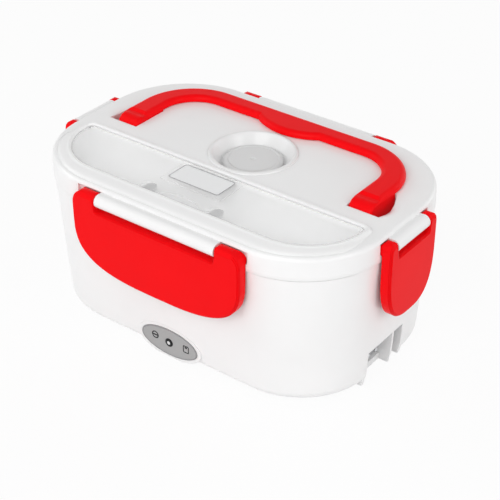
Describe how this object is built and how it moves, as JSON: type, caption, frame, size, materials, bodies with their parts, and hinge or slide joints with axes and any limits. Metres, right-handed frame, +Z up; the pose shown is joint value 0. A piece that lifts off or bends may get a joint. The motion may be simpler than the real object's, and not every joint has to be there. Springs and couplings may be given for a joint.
{
  "type": "electric lunch box",
  "caption": "Portable heated lunch box: tapered white base with a lift-out food container, latched lift-off lid, fold-down red handle, spoon compartment and steam vent.",
  "frame": {"origin": "middle of the underside of the feet, midway between the front and back latches and between the side latches", "axes": "+X along the long side towards the power inlet, +Y from the spoon compartment to the handle's bar, +Z up"},
  "size_m": [0.252, 0.17, 0.112],
  "materials": {
    "white_plastic": "glossy moulded white plastic",
    "liner_plastic": "satin white food-grade plastic",
    "red_plastic": "glossy moulded red plastic",
    "clear_plastic": "frosted clear plastic",
    "grey_plastic": "satin grey panel",
    "lens_plastic": "translucent lamp ring",
    "dark_plastic": "matt black plastic",
    "silicone": "translucent silicone",
    "foot_rubber": "pale rubber",
    "steel": "plated steel",
    "aluminium": "brushed aluminium sheet",
    "ceramic": "ceramic heating element in foil",
    "felt": "heat-resistant felt",
    "board_green": "circuit board",
    "wire_red": "silicone-insulated wire"
  },
  "bodies": {
    "base": {"base_shell": "white_plastic", "bottom_cover": "white_plastic", "cover_screws": "steel", "rubber_feet": "foot_rubber", "heating_tub": "liner_plastic", "heater_plate": "aluminium", "ptc_heater": "ceramic", "heater_bracket": "steel", "bracket_screws": "steel", "thermostat": "aluminium", "thermal_fuse": "ceramic", "insulation_pad": "felt", "mains_inlet": "dark_plastic", "mains_pins": "steel", "car_socket": "dark_plastic", "wiring": "wire_red", "indicator_bezel": "grey_plastic", "indicator_lens": "lens_plastic", "indicator_board": "board_green"},
    "container": {"food_container": "liner_plastic"},
    "dish": {"side_dish": "liner_plastic"},
    "lid": {"lid_shell": "white_plastic", "spoon_tray": "white_plastic", "steam_well": "white_plastic", "lid_liner": "liner_plastic", "lid_gasket": "silicone"},
    "spoon_cover": {"spoon_cover": "clear_plastic"},
    "vent_plug": {"vent_plug": "silicone"},
    "handle": {"handle": "red_plastic"},
    "latch_front": {"latch_front": "red_plastic"},
    "latch_back": {"latch_back": "red_plastic"},
    "latch_left": {"latch_left": "red_plastic"},
    "latch_right": {"latch_right": "red_plastic"}
  },
  "joints": [
    {"name": "lid_lift", "type": "slide", "parent": "base", "child": "lid", "axis": [0, 0, 1], "range_m": [0, 0.14]},
    {"name": "container_lift", "type": "slide", "parent": "base", "child": "container", "axis": [0, 0, 1], "range_m": [0, 0.07]},
    {"name": "dish_lift", "type": "slide", "parent": "container", "child": "dish", "axis": [0, 0, 1], "range_m": [0, 0.035]},
    {"name": "handle_hinge", "type": "hinge", "parent": "lid", "child": "handle", "pos_m": [0, 0.0025, 0.1038], "axis": [1, 0, 0], "range_deg": [0, 90]},
    {"name": "latch_front_hinge", "type": "hinge", "parent": "lid", "child": "latch_front", "pos_m": [0, -0.0805, 0.101], "axis": [-1, 0, 0], "range_deg": [0, 100]},
    {"name": "latch_back_hinge", "type": "hinge", "parent": "lid", "child": "latch_back", "pos_m": [0, 0.0805, 0.101], "axis": [1, 0, 0], "range_deg": [0, 100]},
    {"name": "latch_right_hinge", "type": "hinge", "parent": "lid", "child": "latch_right", "pos_m": [0.1215, 0, 0.101], "axis": [0, -1, 0], "range_deg": [0, 100]},
    {"name": "latch_left_hinge", "type": "hinge", "parent": "lid", "child": "latch_left", "pos_m": [-0.1215, 0, 0.101], "axis": [0, 1, 0], "range_deg": [0, 100]},
    {"name": "spoon_cover_hinge", "type": "hinge", "parent": "lid", "child": "spoon_cover", "pos_m": [0, -0.0214, 0.1064], "axis": [-1, 0, 0], "range_deg": [0, 95]},
    {"name": "vent_pull", "type": "slide", "parent": "lid", "child": "vent_plug", "axis": [0, 0, 1], "range_m": [0, 0.012]}
  ],
  "couplings": [
    {"joint": "container_lift", "follows": "lid_lift", "ratio": 0.5},
    {"joint": "dish_lift", "follows": "lid_lift", "ratio": 0.25}
  ]
}
